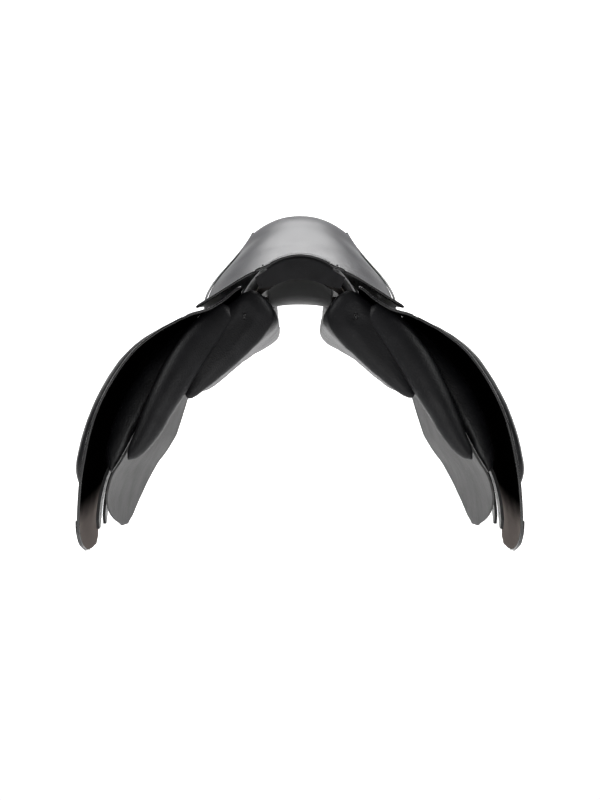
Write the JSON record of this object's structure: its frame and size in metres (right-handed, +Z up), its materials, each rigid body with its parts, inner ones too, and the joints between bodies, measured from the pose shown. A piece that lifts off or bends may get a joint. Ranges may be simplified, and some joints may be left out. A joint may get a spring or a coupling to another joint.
{
  "type": "english saddle",
  "caption": "Black leather English riding saddle with a raised cantle, stuffed panels, lifting side flaps with knee rolls, skirts over the stirrup bars and girth billets.",
  "frame": {"origin": "midway along the panels on the centre plane, level with the panels' lowest line, where the saddle bears on the horse's back", "axes": "+X to the rider's right, +Y from pommel to cantle, +Z up"},
  "size_m": [0.6418, 0.5311, 0.5148],
  "materials": {
    "seat_leather": "fine grain, satin sheen",
    "flap_leather": "grained, satin",
    "skirt_leather": "smooth, satin",
    "panel_leather": "soft grained, satin",
    "sweat_leather": "flesh side, matt",
    "strap_leather": "waxed, edge dyed",
    "roll_leather": "pebbled grain, padded",
    "lining_leather": "undyed split, matt",
    "welt_leather": "piped, glossy",
    "webbing": "woven flat web",
    "foam": "open foam layer",
    "flocking": "wool fibre",
    "tree_wood": "laminated, sealed",
    "steel": "satin",
    "bright_metal": "polished"
  },
  "bodies": {
    "saddle": {"seat_cover": "seat_leather", "head_facing": "welt_leather", "cantle_facing": "seat_leather", "cantle_binding": "welt_leather", "channel_lining": "lining_leather", "pommel_welt": "welt_leather", "seat_foam": "foam", "seat_webbing": "webbing", "tree": "tree_wood", "head_plate": "steel", "head_rivet_left": "steel", "head_rivet_right": "steel", "seat_welt_left": "welt_leather", "seat_welt_right": "welt_leather", "panel_left": "panel_leather", "panel_right": "panel_leather", "flocking_left": "flocking", "flocking_right": "flocking", "front_roll_left": "panel_leather", "front_roll_right": "panel_leather", "flap_head_left": "flap_leather", "flap_head_right": "flap_leather", "sweat_flap_left": "sweat_leather", "sweat_flap_right": "sweat_leather", "knee_block_left": "roll_leather", "knee_block_right": "roll_leather", "thigh_block_left": "roll_leather", "thigh_block_right": "roll_leather", "billet_web_left": "webbing", "billet_web_right": "webbing", "stirrup_bar_left": "steel", "stirrup_bar_right": "steel", "bar_rivet_1_left": "steel", "bar_rivet_1_right": "steel", "bar_rivet_2_left": "steel", "bar_rivet_2_right": "steel", "catch_pin_left": "steel", "catch_pin_right": "steel", "saddle_nail_left": "bright_metal", "saddle_nail_right": "bright_metal", "dee_ring_left": "bright_metal", "dee_ring_right": "bright_metal"},
    "flap_body_left": {"flap_left": "flap_leather", "knee_roll_left": "roll_leather", "flap_patch_left": "roll_leather"},
    "skirt_body_left": {"skirt_left": "skirt_leather"},
    "billet_front_body_left": {"billet_front_left": "strap_leather"},
    "billet_rear_body_left": {"billet_rear_left": "strap_leather"},
    "catch_body_left": {"bar_catch_left": "steel"},
    "flap_body_right": {"flap_right": "flap_leather", "knee_roll_right": "roll_leather", "flap_patch_right": "roll_leather"},
    "skirt_body_right": {"skirt_right": "skirt_leather"},
    "billet_front_body_right": {"billet_front_right": "strap_leather"},
    "billet_rear_body_right": {"billet_rear_right": "strap_leather"},
    "catch_body_right": {"bar_catch_right": "steel"}
  },
  "joints": [
    {"name": "flap_lift_left", "type": "hinge", "parent": "saddle", "child": "flap_body_left", "pos_m": [-0.15, -0.103, 0.12287], "axis": [0, 0.9978, -0.0665], "range_deg": [0, 70]},
    {"name": "skirt_lift_left", "type": "hinge", "parent": "saddle", "child": "skirt_body_left", "pos_m": [-0.082, -0.14, 0.1675], "axis": [-0.2265, 0.9438, -0.2407], "range_deg": [0, 90]},
    {"name": "billet_front_swing_left", "type": "hinge", "parent": "saddle", "child": "billet_front_body_left", "pos_m": [-0.174, -0.128, 0.07753], "axis": [0.904, -0.0286, -0.4265], "range_deg": [-3, 3]},
    {"name": "billet_rear_swing_left", "type": "hinge", "parent": "saddle", "child": "billet_rear_body_left", "pos_m": [-0.174, -0.058, 0.07287], "axis": [0.904, -0.0286, -0.4265], "range_deg": [-3, 3]},
    {"name": "catch_swing_left", "type": "hinge", "parent": "saddle", "child": "catch_body_left", "pos_m": [-0.11024, -0.102, 0.14096], "axis": [0.5093, -0.1061, -0.8541], "range_deg": [0, 80]},
    {"name": "flap_lift_right", "type": "hinge", "parent": "saddle", "child": "flap_body_right", "pos_m": [0.15, -0.103, 0.12287], "axis": [0, -0.9978, 0.0665], "range_deg": [0, 70]},
    {"name": "skirt_lift_right", "type": "hinge", "parent": "saddle", "child": "skirt_body_right", "pos_m": [0.082, -0.14, 0.1675], "axis": [-0.2265, -0.9438, 0.2407], "range_deg": [0, 90]},
    {"name": "billet_front_swing_right", "type": "hinge", "parent": "saddle", "child": "billet_front_body_right", "pos_m": [0.174, -0.128, 0.07753], "axis": [0.904, 0.0286, 0.4265], "range_deg": [-3, 3]},
    {"name": "billet_rear_swing_right", "type": "hinge", "parent": "saddle", "child": "billet_rear_body_right", "pos_m": [0.174, -0.058, 0.07287], "axis": [0.904, 0.0286, 0.4265], "range_deg": [-3, 3]},
    {"name": "catch_swing_right", "type": "hinge", "parent": "saddle", "child": "catch_body_right", "pos_m": [0.11024, -0.102, 0.14096], "axis": [0.5093, 0.1061, 0.8541], "range_deg": [0, 80]}
  ]
}
